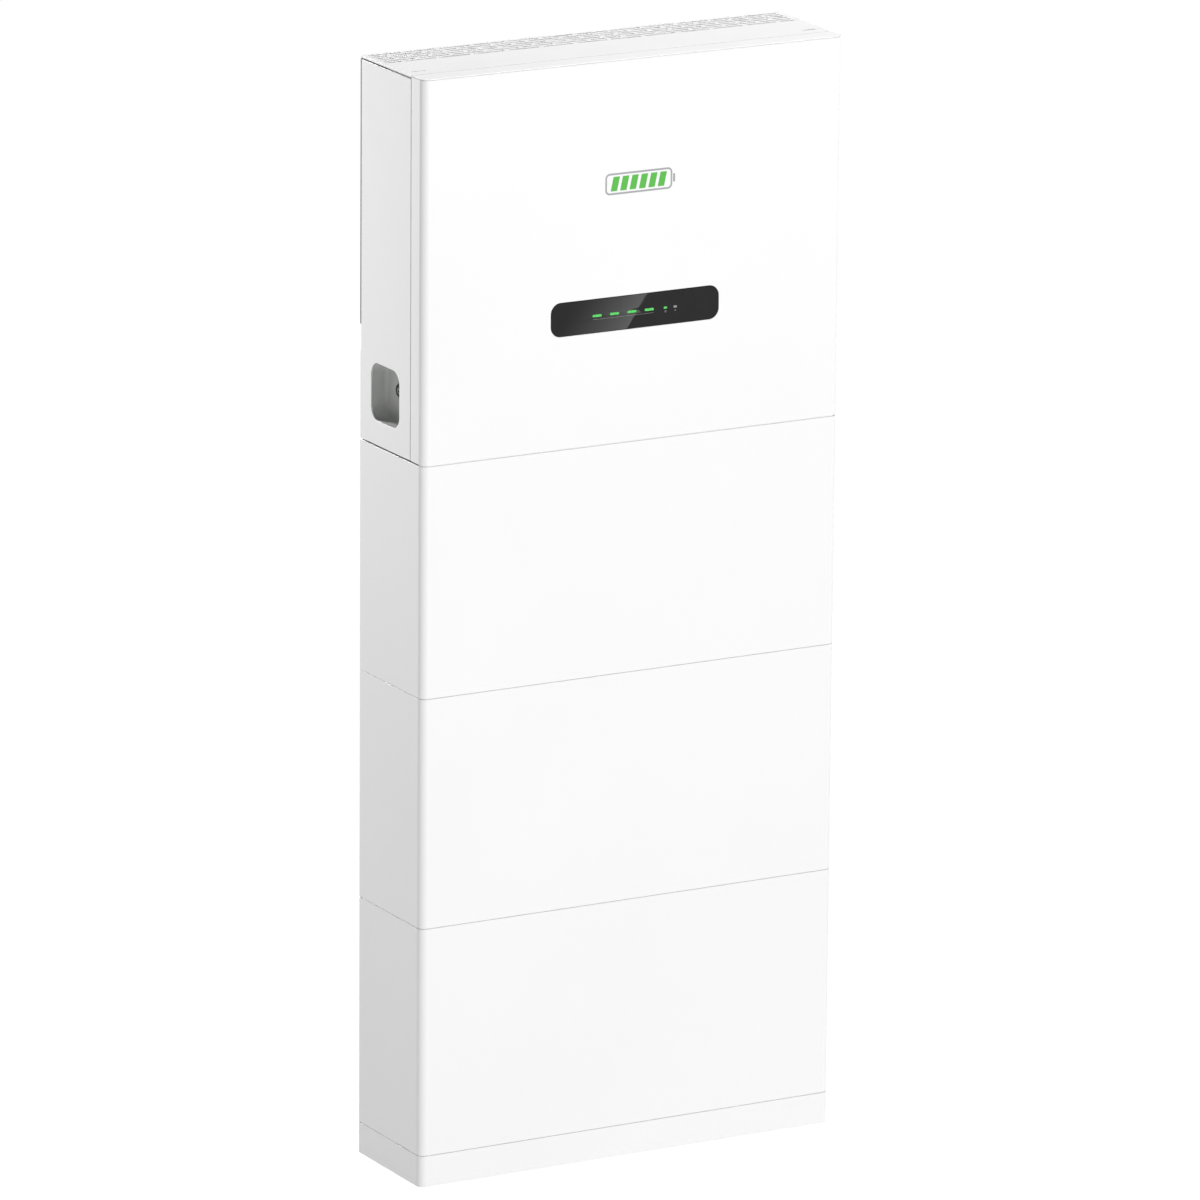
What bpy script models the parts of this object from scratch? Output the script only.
"""Wall battery unit: three stacked battery modules with an inverter on top and a base below.

Metres, +Z up, front towards -Y. The origin is on the floor, midway across the width and midway
between the front face and the wall that the brackets meet.
"""

from math import pi

import bmesh
import bpy
from mathutils import Matrix, Vector

# Driving dimensions
WIDTH = 0.650
CASE_DEPTH = 0.182  # front face to the back of the modules
WALL_GAP = 0.018  # back of the modules to the wall
BASE_HEIGHT = 0.045
MODULE_PITCH = 0.3265
MODULE_COUNT = 3
INVERTER_HEIGHT = 0.5355
CORNER_RADIUS = 0.011
FRONT_COVER_DEPTH = 0.034
RECESS_DEPTH = 0.0248

# Sheet thicknesses and fits
COVER_SHEET = 0.002
INVERTER_SHEET = 0.0025
CASE_SHEET = 0.0015
CASE_RADIUS = 0.0075  # front corners of what stands inside the covers
CHASSIS_WALL = 0.003
TOUCH = 0.0003  # gap that stands for contact between two pieces
SEAM = 0.001  # gap between two module covers
PAST = 0.01  # how far a cutter runs past the face it opens

# Planes that the dimensions give
HALF = WIDTH / 2
FRONT = -(CASE_DEPTH + WALL_GAP) / 2
WALL = -FRONT
CASE_BACK = WALL - WALL_GAP
INVERTER_FLOOR = BASE_HEIGHT + MODULE_COUNT * MODULE_PITCH
TOP = INVERTER_FLOOR + INVERTER_HEIGHT

# Inverter
SPLIT_Y = FRONT + FRONT_COVER_DEPTH + 0.002  # front edge of the side covers
SIDE_LOW = INVERTER_FLOOR + 0.002
TOP_SHEET = 0.003
SIDE_HIGH = TOP - TOP_SHEET - 0.002
CHASSIS_HALF = HALF - 0.005
CHASSIS_FRONT = FRONT + 0.038
CHASSIS_BACK = FRONT + 0.108  # outer back wall of the electronics bay
BAY_STEP = INVERTER_FLOOR + 0.140  # the wiring bay below this height is deeper
NOTCH_Z = INVERTER_FLOOR + 0.1255  # above it the side covers stop short of the duct plate
NOTCH = 0.0023
DUCT_LOW = INVERTER_FLOOR + 0.1605
DUCT_PROUD = 0.0027
HEATSINK_BASE = 0.008
FIN_PITCH = 0.015
FIN_COUNT = 41
FIN_THICKNESS = 0.0025

# Recess in each inverter side, with the button or the glands on its floor
RECESS_Y = FRONT + 0.10885
RECESS_Z = INVERTER_FLOOR + 0.0769
RECESS_SIZE = (0.0825, 0.0803)
RECESS_RADIUS = 0.0185
RECESS_WALL = 0.002
RECESS_FLANGE = 0.008
BUTTON_Y = RECESS_Y + 0.0025
BUTTON_Z = RECESS_Z + 0.0035
BUTTON_RADIUS = 0.009
BUTTON_PROUD = 0.003
BUTTON_LENGTH = 0.0162
BUTTON_CLEARANCE = 0.0004

# Display
LENS_X = 0.0025
LENS_Z = INVERTER_FLOOR + 0.1825
LENS_SIZE = (0.261, 0.0472)
LENS_RADIUS = 0.015
LENS_DEPTH = 0.003
LENS_GAP = 0.0004
LAMP_BACK = FRONT + 0.009
LEVEL_LAMP = (0.0142, 0.0034)
LEVEL_PITCH = 0.027
FIRST_LEVEL_X = -0.0562
DOT_LAMP = (0.0052, 0.0030)
RUN_LAMP_X = 0.050
ALARM_LAMP_X = 0.0653

# Vents in the top cover
VENT_ROWS = 6
VENT_ROW_PITCH = 0.0103
FIRST_VENT_Y = CASE_BACK - 0.0075
VENT_WIDTH = 0.0065
VENT_HALF = 0.318
BRIDGE_PITCH = 0.053
BRIDGE = 0.005
KEY_SLOT = (0.291, 0.314)
KEY_SLOT_Y = CASE_BACK - 0.126
KEY_SLOT_WIDTH = 0.005

# Connector between two neighbours in the stack
PLUG_CENTRE = (-0.220, -0.010)
PLUG_FLANGE = (0.110, 0.044, 0.010)
PLUG_TONGUE = (0.090, 0.024)
PLUG_REACH = 0.020
SOCKET_ROOM = 0.001
SOCKET_HEIGHT = 0.024
SHEET_HOLE_ROOM = 0.003

# Cells
CELL_PITCH = 0.0502
CELLS_ACROSS = 8
CELL_BLOCK_LEFT = -0.105
CELL_BLOCK_DEPTH = 0.156
CELL_BLOCK_HEIGHT = 0.237
CELL_BLOCK_LIFT = 0.045
CELL_GROOVE = (0.0012, 0.003)

# Levelling feet
FOOT_X = 0.270
FOOT_Y = (-0.058, 0.040)
PAD_RADIUS = 0.020
PAD_HEIGHT = 0.008
STUD_RADIUS = 0.005
STUD_TOP = 0.038
BOSS_RADIUS = 0.012
BOSS_LOW = 0.018

FINISHES = {
    "white_paint": ((0.90, 0.90, 0.90, 1), 0.45, 0.0),
    "grey_paint": ((0.36, 0.37, 0.38, 1), 0.50, 0.0),
    "black_paint": ((0.04, 0.04, 0.04, 1), 0.50, 0.0),
    "zinc_steel": ((0.62, 0.63, 0.64, 1), 0.35, 1.0),
    "cast_aluminium": ((0.55, 0.56, 0.57, 1), 0.40, 1.0),
    "lens_black": ((0.03, 0.03, 0.03, 1), 0.10, 0.0),
    "lamp_green": ((0.10, 0.70, 0.20, 1), 0.30, 0.0),
    "lamp_pale": ((0.75, 0.78, 0.78, 1), 0.30, 0.0),
    "recess_plastic": ((0.34, 0.35, 0.34, 1), 0.55, 0.0),
    "button_black": ((0.04, 0.04, 0.04, 1), 0.45, 0.0),
    "black_plastic": ((0.06, 0.06, 0.06, 1), 0.50, 0.0),
    "board_green": ((0.05, 0.25, 0.12, 1), 0.45, 0.0),
    "rubber": ((0.05, 0.05, 0.05, 1), 0.80, 0.0),
    "cell_blue": ((0.12, 0.25, 0.50, 1), 0.40, 0.0),
}


def start():
    """Clears the scene and makes the collections for the parts and for the cutters."""
    for old in list(bpy.data.objects):
        bpy.data.objects.remove(old, do_unlink=True)
    made = []
    for name in ("wall_battery_unit", "cutters"):
        collection = bpy.data.collections.new(name)
        bpy.context.scene.collection.children.link(collection)
        made.append(collection)
    return made


PARTS, CUTTERS = start()


def finish_material(name):
    """The Principled material of one finish, made once."""
    found = bpy.data.materials.get(name)
    if found:
        return found
    colour, roughness, metallic = FINISHES[name]
    made = bpy.data.materials.new(name)
    made.use_nodes = True
    shader = made.node_tree.nodes["Principled BSDF"]
    shader.inputs["Base Color"].default_value = colour
    shader.inputs["Roughness"].default_value = roughness
    shader.inputs["Metallic"].default_value = metallic
    return made


def add(name, mesh, finish, centre, smooth=False):
    """An object from a bmesh, in the parts' collection, or with the cutters when it has no finish."""
    data = bpy.data.meshes.new(name)
    bmesh.ops.recalc_face_normals(mesh, faces=mesh.faces)
    mesh.to_mesh(data)
    mesh.free()
    made = bpy.data.objects.new(name, data)
    made.location = centre
    if finish:
        PARTS.objects.link(made)
        data.materials.append(finish_material(finish))
    else:
        CUTTERS.objects.link(made)
        made.hide_render = True
        made.display_type = "WIRE"
    if smooth:
        data.shade_smooth()
        data.set_sharp_from_angle(angle=0.6)
    return made


def block(name, low, high, finish=None, radius=0.0, along="Z", front_only=False, steps=5):
    """A box between two corners, with its edges along one axis rounded, all four or the front two."""
    low, high = Vector(low), Vector(high)
    size = high - low
    mesh = bmesh.new()
    bmesh.ops.create_cube(mesh, size=1.0)
    bmesh.ops.scale(mesh, vec=size, verts=mesh.verts)
    if radius:
        axis = "XYZ".index(along)
        edges = [
            edge
            for edge in mesh.edges
            if abs((edge.verts[0].co - edge.verts[1].co)[axis]) > size[axis] / 2
            and (edge.verts[0].co.y < 0 or not front_only)
        ]
        bmesh.ops.bevel(
            mesh, geom=edges, offset=radius, segments=steps, profile=0.5, affect="EDGES"
        )
    return add(name, mesh, finish, (low + high) / 2, smooth=bool(radius))


def rod(name, start_point, length, radius, finish=None, along="Z", sides=24):
    """A cylinder that runs from a point along the positive direction of one axis."""
    turn = {
        "X": Matrix.Rotation(pi / 2, 4, "Y"),
        "Y": Matrix.Rotation(-pi / 2, 4, "X"),
        "Z": Matrix.Identity(4),
    }[along]
    mesh = bmesh.new()
    bmesh.ops.create_cone(
        mesh, cap_ends=True, segments=sides, radius1=radius, radius2=radius, depth=length
    )
    bmesh.ops.transform(mesh, matrix=turn, verts=mesh.verts)
    centre = Vector(start_point)
    centre["XYZ".index(along)] += length / 2
    return add(name, mesh, finish, centre, smooth=sides > 6)


def turned(name, profile, centre, finish, closed=False, steps=16, turn=(0, 0, 0)):
    """A turned piece from (radius, height) points, listed down its outer side."""
    mesh = bmesh.new()
    points = [mesh.verts.new((radius, 0, height)) for radius, height in profile]
    for first, second in zip(points, points[1:]):
        mesh.edges.new((first, second))
    if closed:
        mesh.edges.new((points[-1], points[0]))
    made = add(name, mesh, finish, centre)
    made.rotation_euler = turn
    screw = made.modifiers.new("turn", "SCREW")
    screw.axis = "Z"
    screw.steps = screw.render_steps = steps
    screw.use_merge_vertices = True
    screw.merge_threshold = 0.00001
    screw.use_smooth_shade = False
    return made


def outline(name, points, span, finish, along="Z"):
    """A flat outline drawn out between two places on an axis: (X, Y) points along Z, (Y, Z) along X."""
    curve = bpy.data.curves.new(name, "CURVE")
    curve.dimensions = "2D"
    curve.fill_mode = "BOTH"
    curve.extrude = (span[1] - span[0]) / 2
    line = curve.splines.new("POLY")
    line.points.add(len(points) - 1)
    for place, (first, second) in zip(line.points, points):
        place.co = (first, second, 0, 1)
    line.use_cyclic_u = True
    drawn = bpy.data.objects.new(name + "_curve", curve)
    CUTTERS.objects.link(drawn)
    middle = (span[0] + span[1]) / 2
    if along == "X":
        to_world = Matrix(((0, 0, 1, middle), (1, 0, 0, 0), (0, 1, 0, 0), (0, 0, 0, 1)))
    else:
        to_world = Matrix.Translation((0, 0, middle))
    drawn.matrix_world = to_world
    bpy.context.view_layer.update()
    evaluated = drawn.evaluated_get(bpy.context.evaluated_depsgraph_get())
    data = bpy.data.meshes.new_from_object(evaluated)
    data.name = name
    mesh = bmesh.new()
    mesh.from_mesh(data)
    bmesh.ops.remove_doubles(mesh, verts=mesh.verts, dist=0.00001)
    mesh.to_mesh(data)
    mesh.free()
    data.materials.clear()
    data.materials.append(finish_material(finish))
    made = bpy.data.objects.new(name, data)
    made.matrix_world = to_world
    PARTS.objects.link(made)
    bpy.data.objects.remove(drawn)
    return made


def combine(target, other, operation):
    """Cuts another object from the target, or joins it on."""
    boolean = target.modifiers.new(other.name, "BOOLEAN")
    boolean.operation = operation
    boolean.solver = "EXACT"
    boolean.object = other


def cut(target, low, high, radius=0.0, along="Z", front_only=False):
    """Cuts a box, rounded as block() rounds one, from the target."""
    name = f"{target.name}_cut_{len(target.modifiers)}"
    combine(target, block(name, low, high, None, radius, along, front_only), "DIFFERENCE")


def drill(target, start_point, length, radius, along="Z", sides=16):
    """Drills a round hole in the target."""
    name = f"{target.name}_drill_{len(target.modifiers)}"
    tool = rod(name, start_point, length, radius, None, along, sides)
    combine(target, tool, "DIFFERENCE")


def weld(target, other):
    """Joins another object, made as a cutter, to the target."""
    combine(target, other, "UNION")


def centred(centre, size, low_z, high_z):
    """The two corners of a box round a plan centre."""
    (x, y), (dx, dy) = centre, (size[0] / 2, size[1] / 2)
    return (x - dx, y - dy, low_z), (x + dx, y + dy, high_z)


# Stacking connectors


def cut_connector_hole(target, low_z, high_z):
    """The hole in a sheet that a plug's tongue passes through."""
    size = (PLUG_TONGUE[0] + 2 * SHEET_HOLE_ROOM, PLUG_TONGUE[1] + 2 * SHEET_HOLE_ROOM)
    cut(target, *centred(PLUG_CENTRE, size, low_z, high_z))


def socket(name, seam, sheet):
    """A socket that hangs under the sheet whose upper face is at the seam."""
    high = seam - TOUCH - sheet - TOUCH
    low = high - SOCKET_HEIGHT
    made = block(name, *centred(PLUG_CENTRE, PLUG_FLANGE, low, high), "black_plastic")
    mouth = (PLUG_TONGUE[0] + 2 * SOCKET_ROOM, PLUG_TONGUE[1] + 2 * SOCKET_ROOM)
    cut(made, *centred(PLUG_CENTRE, mouth, seam - PLUG_REACH - 0.002, high + PAST))


def plug(name, seam, sheet):
    """A plug that sits on the sheet above the seam and reaches down through it."""
    low = seam + sheet + TOUCH
    corners = centred(PLUG_CENTRE, PLUG_FLANGE, low, low + PLUG_FLANGE[2])
    made = block(name, *corners, "black_plastic")
    tongue = centred(PLUG_CENTRE, PLUG_TONGUE, seam - PLUG_REACH, low + 0.002)
    weld(made, block(name + "_tongue", *tongue, None, 0.004, "Z"))


# Battery modules


def module_cover(name, low, high):
    """A sheet cover that wraps round the front and both sides."""
    made = block(
        name,
        (-HALF, FRONT, low + SEAM / 2),
        (HALF, CASE_BACK, high - SEAM / 2),
        "white_paint",
        CORNER_RADIUS,
        front_only=True,
    )
    cut(
        made,
        (-HALF + COVER_SHEET, FRONT + COVER_SHEET, low - PAST),
        (HALF - COVER_SHEET, CASE_BACK + PAST, high + PAST),
        CORNER_RADIUS - COVER_SHEET,
        front_only=True,
    )


def module_case(name, low, high):
    """A steel case, open at the front behind the cover, with a connector hole above and below."""
    inset = COVER_SHEET + 0.0015
    made = block(
        name,
        (-HALF + inset, FRONT + inset, low),
        (HALF - inset, CASE_BACK - 0.0005, high - TOUCH),
        "zinc_steel",
        CASE_RADIUS,
        front_only=True,
    )
    wall = inset + CASE_SHEET
    cut(
        made,
        (-HALF + wall, FRONT - PAST, low + CASE_SHEET),
        (HALF - wall, CASE_BACK - 0.0005 - CASE_SHEET, high - TOUCH - CASE_SHEET),
    )
    cut_connector_hole(made, low - PAST, low + PAST)
    cut_connector_hole(made, high - PAST, high + PAST)


def cell_block(name, low):
    """Two layers of prismatic cells, strapped into one block, with grooves between neighbours."""
    front = FRONT + 0.020
    back = front + CELL_BLOCK_DEPTH
    half_groove, depth = CELL_GROOVE[0] / 2, CELL_GROOVE[1]
    right = CELL_BLOCK_LEFT + CELLS_ACROSS * CELL_PITCH
    points = [(CELL_BLOCK_LEFT, front)]
    for number in range(1, CELLS_ACROSS):
        x = CELL_BLOCK_LEFT + number * CELL_PITCH
        points += [
            (x - half_groove, front),
            (x - half_groove, front + depth),
            (x + half_groove, front + depth),
            (x + half_groove, front),
        ]
    points += [(right, front), (right, back), (CELL_BLOCK_LEFT, back)]
    bottom = low + CELL_BLOCK_LIFT
    made = outline(name, points, (bottom, bottom + CELL_BLOCK_HEIGHT), "cell_blue")
    middle = bottom + CELL_BLOCK_HEIGHT / 2
    cut(
        made,
        (CELL_BLOCK_LEFT - PAST, front - PAST, middle - half_groove),
        (right + PAST, front + depth, middle + half_groove),
    )


def management_board(name, low):
    """The board that watches the cells, with its contactor and its fuse."""
    back = CASE_BACK - 0.020
    made = block(
        name, (-0.305, back - 0.0016, low + 0.060), (-0.125, back, low + 0.270), "board_green"
    )
    face = back - 0.001
    contactor = ((-0.290, back - 0.046, low + 0.180), (-0.220, face, low + 0.250))
    fuse = ((-0.200, back - 0.024, low + 0.090), (-0.140, face, low + 0.120))
    for part, corners in (("contactor", contactor), ("fuse", fuse)):
        weld(made, block(f"{name}_{part}", *corners))


def battery_module(number):
    low = BASE_HEIGHT + (number - 1) * MODULE_PITCH
    high = low + MODULE_PITCH
    module_cover(f"battery_{number}_cover", low, high)
    module_case(f"battery_{number}_case", low, high)
    cell_block(f"battery_{number}_cells", low)
    management_board(f"battery_{number}_board", low)
    socket(f"battery_{number}_socket", high, CASE_SHEET)
    plug(f"battery_{number}_plug", low, CASE_SHEET)


# Base


def base_skirt():
    made = block(
        "base_skirt",
        (-HALF, FRONT, 0),
        (HALF, CASE_BACK, BASE_HEIGHT - SEAM / 2),
        "white_paint",
        CORNER_RADIUS,
        front_only=True,
    )
    cut(
        made,
        (-HALF + COVER_SHEET, FRONT + COVER_SHEET, -PAST),
        (HALF - COVER_SHEET, CASE_BACK - COVER_SHEET, BASE_HEIGHT + PAST),
        CORNER_RADIUS - COVER_SHEET,
        front_only=True,
    )


def base_frame():
    """A steel frame under the lowest case, with a lip on the floor and a threaded boss for each foot."""
    side = HALF - COVER_SHEET - 0.0008
    front, back = FRONT + 0.0035, CASE_BACK - COVER_SHEET - TOUCH
    high = BASE_HEIGHT - TOUCH
    sheet = CHASSIS_WALL
    lip = 0.016
    made = block(
        "base_frame",
        (-side, front, 0),
        (side, back, high),
        "grey_paint",
        CASE_RADIUS,
        front_only=True,
    )
    cut(
        made,
        (-side + sheet, front + sheet, sheet),
        (side - sheet, back - sheet, high - sheet),
    )
    cut(
        made,
        (-side + sheet + lip, front + lip, -PAST),
        (side - sheet - lip, back - lip, sheet + 0.001),
    )
    for number, x, y in foot_places():
        boss_height = high - sheet - BOSS_LOW + 0.001
        weld(made, rod(f"boss_{number}", (x, y, BOSS_LOW), boss_height, BOSS_RADIUS, sides=16))
    for _, x, y in foot_places():
        depth = high - sheet - BOSS_LOW + PAST
        drill(made, (x, y, BOSS_LOW - PAST), depth, STUD_RADIUS + 0.0004)
    cut_connector_hole(made, high - PAST, high + PAST)


def foot_places():
    """Each foot's number and its place in plan."""
    places = [(x, y) for x in (-FOOT_X, FOOT_X) for y in FOOT_Y]
    return [(number, x, y) for number, (x, y) in enumerate(places, start=1)]


def foot(number, x, y):
    """A pad that stands on the floor and a threaded stud whose ball end turns in it."""
    seat = 0.003
    turned(
        f"foot_{number}_pad",
        [
            (0, seat),
            (0.0045, seat),
            (0.0045, PAD_HEIGHT),
            (PAD_RADIUS - 0.003, PAD_HEIGHT),
            (PAD_RADIUS, PAD_HEIGHT - 0.003),
            (PAD_RADIUS, 0),
            (0, 0),
        ],
        (x, y, 0),
        "rubber",
    )
    collar_low = PAD_HEIGHT + 0.0005
    stud = turned(
        f"foot_{number}_stud",
        [
            (0, STUD_TOP),
            (STUD_RADIUS - 0.001, STUD_TOP),
            (STUD_RADIUS, STUD_TOP - 0.001),
            (STUD_RADIUS, collar_low),
            (0.003, collar_low),
            (0.003, collar_low - 0.001),
            (0.004, 0.006),
            (0.004, 0.0045),
            (0.002, seat + TOUCH),
            (0, seat + TOUCH),
        ],
        (x, y, 0),
        "zinc_steel",
        steps=12,
    )
    weld(stud, rod(f"stud_hex_{number}", (x, y, collar_low), 0.006, 0.0098, sides=6))


# Inverter


def inverter_chassis():
    """A tray open to the front: the electronics bay, and the deeper wiring bay below it."""
    low, high = INVERTER_FLOOR, SIDE_HIGH
    deep_back = CASE_BACK - 0.004
    wall = CHASSIS_WALL
    made = block(
        "inverter_chassis",
        (-CHASSIS_HALF, CHASSIS_FRONT, low),
        (CHASSIS_HALF, CHASSIS_BACK, high),
        "grey_paint",
    )
    weld(
        made,
        block(
            "wiring_bay",
            (-CHASSIS_HALF, CHASSIS_BACK - 0.02, low),
            (CHASSIS_HALF, deep_back, BAY_STEP),
        ),
    )
    cut(
        made,
        (-CHASSIS_HALF + wall, CHASSIS_FRONT - PAST, low + wall),
        (CHASSIS_HALF - wall, CHASSIS_BACK - wall, high - wall),
    )
    cut(
        made,
        (-CHASSIS_HALF + wall, CHASSIS_BACK - 0.02, low + wall),
        (CHASSIS_HALF - wall, deep_back - wall, BAY_STEP - wall),
    )
    for side in (-1, 1):
        near, far = sorted((side * (CHASSIS_HALF - PAST), side * (CHASSIS_HALF + PAST)))
        cut(made, *recess_corners(near, far, RECESS_WALL + 0.0005))
    cut_connector_hole(made, low - PAST, low + PAST)


def recess_corners(low_x, high_x, grow=0.0):
    """The corners of a box with the outline of the recess, grown on every side."""
    dy, dz = RECESS_SIZE[0] / 2 + grow, RECESS_SIZE[1] / 2 + grow
    return (low_x, RECESS_Y - dy, RECESS_Z - dz), (high_x, RECESS_Y + dy, RECESS_Z + dz)


def recess_round(grow=0.0):
    """The corner radius of a grown recess outline, and the axis that its corners run along."""
    return RECESS_RADIUS + grow, "X"


def recess_cup(name, side, finish):
    """A cup behind a side cover, held by its flange between the cover and the chassis."""
    outer = HALF - INVERTER_SHEET - TOUCH
    flange_back = CHASSIS_HALF + TOUCH
    floor = HALF - RECESS_DEPTH

    def along(first, second):
        return sorted((side * first, side * second))

    made = block(name, *recess_corners(*along(outer, flange_back), RECESS_FLANGE), finish)
    shell = block(
        name + "_shell",
        *recess_corners(*along(outer - 0.0005, floor - RECESS_WALL), RECESS_WALL),
        None,
        *recess_round(RECESS_WALL),
    )
    weld(made, shell)
    cut(made, *recess_corners(*along(outer + PAST, floor)), *recess_round())
    return made


def power_button():
    """The recess on the left with its push button and the switch that the button works."""
    floor = -(HALF - RECESS_DEPTH)
    bore = BUTTON_RADIUS + BUTTON_CLEARANCE
    cup = recess_cup("button_recess", -1, "recess_plastic")
    drill(cup, (floor - PAST, BUTTON_Y, BUTTON_Z), 2 * PAST, bore, "X", sides=24)
    button = rod(
        "power_button",
        (floor - BUTTON_PROUD, BUTTON_Y, BUTTON_Z),
        BUTTON_LENGTH,
        BUTTON_RADIUS,
        "button_black",
        "X",
    )
    edge = button.modifiers.new("edge", "BEVEL")
    edge.width = 0.001
    edge.segments = 2
    edge.limit_method = "ANGLE"
    switch_front = floor + RECESS_WALL + TOUCH
    switch = rod(
        "button_switch", (switch_front, BUTTON_Y, BUTTON_Z), 0.024, 0.015, "black_plastic", "X"
    )
    drill(switch, (switch_front - PAST, BUTTON_Y, BUTTON_Z), PAST + 0.016, bore, "X", sides=24)


def gland(name, y, z, thread):
    """A cable gland: a dome outside the recess floor and a locknut inside it."""
    nut, bore = thread + 0.003, thread - 0.0025
    inner_face = -RECESS_WALL - TOUCH
    turned(
        name,
        [
            (bore, 0.012),
            (thread, 0.012),
            (nut, 0.008),
            (nut, TOUCH),
            (thread, TOUCH),
            (thread, inner_face),
            (nut, inner_face),
            (nut, inner_face - 0.005),
            (thread, inner_face - 0.005),
            (thread, inner_face - 0.010),
            (bore, inner_face - 0.010),
        ],
        (HALF - RECESS_DEPTH, y, z),
        "black_plastic",
        closed=True,
        turn=(0, pi / 2, 0),
    )


def cable_glands():
    """The recess on the right, with a gland each for the grid, the solar string and the data lead."""
    floor = HALF - RECESS_DEPTH
    cup = recess_cup("cable_recess", 1, "recess_plastic")
    places = (
        ("grid_gland", -0.018, 0.016, 0.0095),
        ("solar_gland", 0.018, 0.016, 0.0080),
        ("data_gland", 0.0, -0.018, 0.0065),
    )
    for name, dy, dz, thread in places:
        y, z = RECESS_Y + dy, RECESS_Z + dz
        drill(cup, (floor - PAST, y, z), 2 * PAST, thread + TOUCH, "X")
        gland(name, y, z, thread)


def side_cover(name, side):
    """A flat side cover with the recess window, its upper back edge set in beside the duct plate."""
    low_x, high_x = sorted((side * HALF, side * (HALF - INVERTER_SHEET)))
    made = block(
        name, (low_x, SPLIT_Y, SIDE_LOW), (high_x, CASE_BACK, SIDE_HIGH), "white_paint"
    )
    cut(made, *recess_corners(low_x - PAST, high_x + PAST), *recess_round())
    cut(
        made,
        (low_x - PAST, CASE_BACK - NOTCH, NOTCH_Z),
        (high_x + PAST, CASE_BACK + PAST, SIDE_HIGH + PAST),
    )


def box_cloud(name, corners):
    """One cutter made of many separate boxes."""
    mesh = bmesh.new()
    for low, high in corners:
        low, high = Vector(low), Vector(high)
        place = Matrix.Translation((low + high) / 2) @ Matrix.Diagonal((*(high - low), 1))
        bmesh.ops.create_cube(mesh, size=1.0, matrix=place)
    return add(name, mesh, None, (0, 0, 0))


def vent_slots():
    """The vents as boxes: rows of slots, with the bridges of odd rows half a pitch along."""
    low_z, high_z = TOP - TOP_SHEET - PAST, TOP + PAST
    boxes = []
    for row in range(VENT_ROWS):
        y = FIRST_VENT_Y - row * VENT_ROW_PITCH
        start_x = -6 * BRIDGE_PITCH + (row % 2) * BRIDGE_PITCH / 2
        bridges = [start_x + number * BRIDGE_PITCH for number in range(13)]
        bridges = [x for x in bridges if abs(x) < VENT_HALF - BRIDGE]
        lows = [-VENT_HALF] + [x + BRIDGE / 2 for x in bridges]
        highs = [x - BRIDGE / 2 for x in bridges] + [VENT_HALF]
        for low_x, high_x in zip(lows, highs):
            low = (low_x, y - VENT_WIDTH / 2, low_z)
            high = (high_x, y + VENT_WIDTH / 2, high_z)
            boxes.append((low, high))
    for side in (-1, 1):
        low_x, high_x = sorted((side * KEY_SLOT[0], side * KEY_SLOT[1]))
        low = (low_x, KEY_SLOT_Y - KEY_SLOT_WIDTH / 2, low_z)
        high = (high_x, KEY_SLOT_Y + KEY_SLOT_WIDTH / 2, high_z)
        boxes.append((low, high))
    return boxes


def top_cover():
    made = block(
        "top_cover", (-HALF, SPLIT_Y, TOP - TOP_SHEET), (HALF, CASE_BACK, TOP), "white_paint"
    )
    combine(made, box_cloud("vent_slots", vent_slots()), "DIFFERENCE")


def lens_corners(low_y, high_y, grow=0.0):
    """The corners of a box with the outline of the display lens."""
    dx, dz = LENS_SIZE[0] / 2 + grow, LENS_SIZE[1] / 2 + grow
    return (LENS_X - dx, low_y, LENS_Z - dz), (LENS_X + dx, high_y, LENS_Z + dz)


def front_cover():
    """The inverter's front cover, a shallow shell with the window for the display lens."""
    back = FRONT + FRONT_COVER_DEPTH
    made = block(
        "front_cover",
        (-HALF, FRONT, SIDE_LOW),
        (HALF, back, TOP),
        "white_paint",
        CORNER_RADIUS,
        front_only=True,
    )
    sheet = INVERTER_SHEET
    cut(
        made,
        (-HALF + sheet, FRONT + sheet, SIDE_LOW + sheet),
        (HALF - sheet, back + PAST, TOP - sheet),
        CORNER_RADIUS - sheet,
        front_only=True,
    )
    low, high = lens_corners(FRONT - PAST, FRONT + PAST, LENS_GAP)
    cut(made, low, high, LENS_RADIUS + LENS_GAP, "Y")


def lamps():
    """Each lamp's name, place across the front, size and finish."""
    made = []
    for number in range(4):
        x = FIRST_LEVEL_X + number * LEVEL_PITCH
        made.append((f"level_lamp_{number + 1}", x, LEVEL_LAMP, "lamp_green"))
    made.append(("run_lamp", RUN_LAMP_X, DOT_LAMP, "lamp_green"))
    made.append(("alarm_lamp", ALARM_LAMP_X, DOT_LAMP, "lamp_pale"))
    return made


def display():
    """The lens, the lamps that shine through it and the board behind them."""
    face = FRONT + TOUCH
    low, high = lens_corners(face, face + LENS_DEPTH)
    lens = block("display_lens", low, high, "lens_black", LENS_RADIUS, "Y", steps=6)
    for name, x, (width, height), finish in lamps():
        dx, dz = width / 2, height / 2
        block(name, (x - dx, face, LENS_Z - dz), (x + dx, LAMP_BACK, LENS_Z + dz), finish)
        room_x, room_z = dx + TOUCH, dz + TOUCH
        cut(
            lens,
            (x - room_x, face - PAST, LENS_Z - room_z),
            (x + room_x, face + PAST, LENS_Z + room_z),
        )
    board = LAMP_BACK + TOUCH
    block(
        "display_board",
        (LENS_X - 0.115, board, LENS_Z - 0.018),
        (LENS_X + 0.115, board + 0.0016, LENS_Z + 0.018),
        "board_green",
    )


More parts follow.
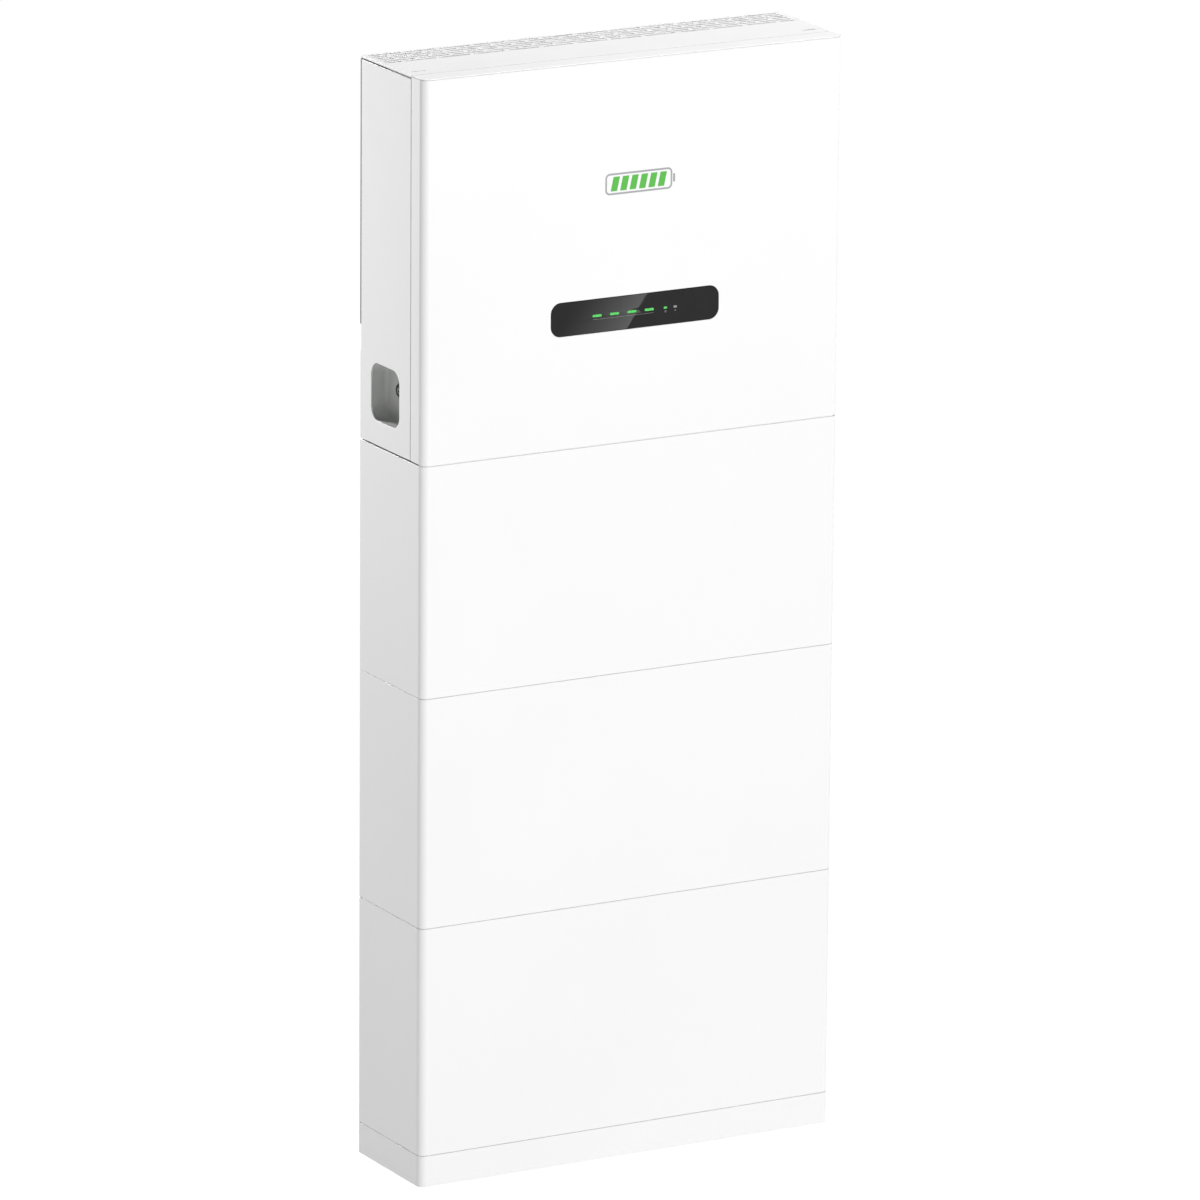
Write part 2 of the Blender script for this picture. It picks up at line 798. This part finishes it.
def inner_lid_and_gasket():
    """The sheet lid that closes the chassis behind the front cover, and the seal under it."""
    seal_front = CHASSIS_FRONT - TOUCH - 0.0017
    low, high = INVERTER_FLOOR + TOUCH, SIDE_HIGH - TOUCH
    half = CHASSIS_HALF - TOUCH
    gasket = block(
        "lid_gasket", (-half, seal_front, low), (half, CHASSIS_FRONT - TOUCH, high), "rubber"
    )
    width = 0.0025
    cut(
        gasket,
        (-half + width, seal_front - PAST, low + width),
        (half - width, CHASSIS_FRONT + PAST, high - width),
    )
    lid_back = seal_front - TOUCH
    block("inner_lid", (-half, lid_back - 0.0015, low), (half, lid_back, high), "zinc_steel")


def heat_sink():
    """A base plate on the back of the electronics bay, with upright fins under the vents."""
    base_front = CHASSIS_BACK + TOUCH
    base_back = base_front + HEATSINK_BASE
    tip = CASE_BACK - NOTCH - 0.001
    half = (FIN_COUNT - 1) * FIN_PITCH / 2 + FIN_THICKNESS / 2
    points = [(-half, base_front)]
    for number in range(FIN_COUNT):
        left = -half + number * FIN_PITCH
        right = left + FIN_THICKNESS
        if number:
            points.append((left, base_back))
        points += [(left, tip), (right, tip)]
        if number < FIN_COUNT - 1:
            points.append((right, base_back))
    points.append((half, base_front))
    outline("heat_sink", points, (BAY_STEP + 0.022, TOP - 0.012), "cast_aluminium")


def duct_plate():
    """The dark folded plate that closes the fins towards the wall and leaves an inlet below it."""
    half = HALF - 0.0008
    back = CASE_BACK + DUCT_PROUD
    front = CASE_BACK - NOTCH + TOUCH
    low, high = DUCT_LOW, TOP - TOP_SHEET - TOUCH
    sheet = 0.0015
    made = block("duct_plate", (-half, front, low), (half, back, high), "black_paint")
    cut(
        made,
        (-half + sheet, front - PAST, low + sheet),
        (half - sheet, back - sheet, high - sheet),
    )


def power_board():
    """The power board with its capacitors and the potted chokes beside them."""
    board_back = CHASSIS_BACK - CHASSIS_WALL - 0.008
    board_front = board_back - 0.0016
    low = BAY_STEP + 0.030
    block(
        "power_board", (-0.290, board_front, low), (0.290, board_back, TOP - 0.035), "board_green"
    )
    part_back = board_front - TOUCH
    part_front = CHASSIS_FRONT + 0.010
    tray_front = part_back - 0.004
    z = TOP - 0.090
    bank = block(
        "capacitor_bank",
        (-0.225, tray_front, z - 0.020),
        (0.015, part_back, z + 0.020),
        "black_plastic",
    )
    for number in range(6):
        can = rod(
            f"capacitor_{number}",
            (-0.205 + number * 0.040, part_front, z),
            tray_front + 0.001 - part_front,
            0.0175,
            along="Y",
            sides=16,
        )
        weld(bank, can)
    block(
        "choke_block",
        (0.080, part_front, low + 0.030),
        (0.260, part_back, low + 0.120),
        "cast_aluminium",
        0.008,
    )


def terminal_block():
    """The row of screw terminals in the wiring bay, one notch for each wire."""
    back = CASE_BACK - 0.004 - CHASSIS_WALL - TOUCH
    front = back - 0.035
    low, high = INVERTER_FLOOR + 0.035, INVERTER_FLOOR + 0.095
    left, pitch, count = 0.090, 0.020, 7
    made = block(
        "terminal_block", (left, front, low), (left + count * pitch, back, high), "black_plastic"
    )
    slots = []
    for number in range(count):
        x = left + number * pitch
        slots.append(((x + 0.004, front - PAST, low + 0.008), (x + 0.016, back - 0.008, high + PAST)))
    combine(made, box_cloud("terminal_slots", slots), "DIFFERENCE")


# Wall brackets


def hook_rail():
    """The hat-shaped rail that hangs the inverter on the wall."""
    sheet = 0.0025
    near = CASE_BACK + DUCT_PROUD + TOUCH
    low, high, lip = INVERTER_FLOOR + 0.3755, INVERTER_FLOOR + 0.4755, 0.022
    points = [
        (near, low - lip),
        (near + sheet, low - lip),
        (near + sheet, low),
        (WALL, low),
        (WALL, high),
        (near + sheet, high),
        (near + sheet, high + lip),
        (near, high + lip),
        (near, high - sheet),
        (WALL - sheet, high - sheet),
        (WALL - sheet, low + sheet),
        (near, low + sheet),
    ]
    made = outline("inverter_wall_rail", points, (-0.220, 0.220), "zinc_steel", "X")
    middle = (low + high) / 2
    for x in (-0.180, 0.180):
        drill(made, (x, WALL - PAST, middle), 2 * PAST, 0.0045, "Y")


def module_bracket():
    """The folded bracket that ties the top battery module to the wall."""
    sheet = 0.0025
    near = CASE_BACK - 0.0005 + TOUCH
    shelf, leg = INVERTER_FLOOR - 0.045, 0.035
    points = [
        (near, shelf - leg),
        (near + sheet, shelf - leg),
        (near + sheet, shelf - sheet),
        (WALL, shelf - sheet),
        (WALL, shelf + leg),
        (WALL - sheet, shelf + leg),
        (WALL - sheet, shelf),
        (near, shelf),
    ]
    made = outline("module_wall_bracket", points, (-0.220, 0.220), "zinc_steel", "X")
    for x in (-0.180, 0.180):
        drill(made, (x, WALL - PAST, shelf + 0.020), 2 * PAST, 0.0045, "Y")


def main():
    base_skirt()
    base_frame()
    socket("base_socket", BASE_HEIGHT, CHASSIS_WALL)
    for number, x, y in foot_places():
        foot(number, x, y)
    for number in range(1, MODULE_COUNT + 1):
        battery_module(number)
    inverter_chassis()
    plug("inverter_plug", INVERTER_FLOOR, CHASSIS_WALL)
    inner_lid_and_gasket()
    side_cover("side_cover_left", -1)
    side_cover("side_cover_right", 1)
    top_cover()
    front_cover()
    display()
    power_button()
    cable_glands()
    heat_sink()
    duct_plate()
    power_board()
    terminal_block()
    hook_rail()
    module_bracket()


main()
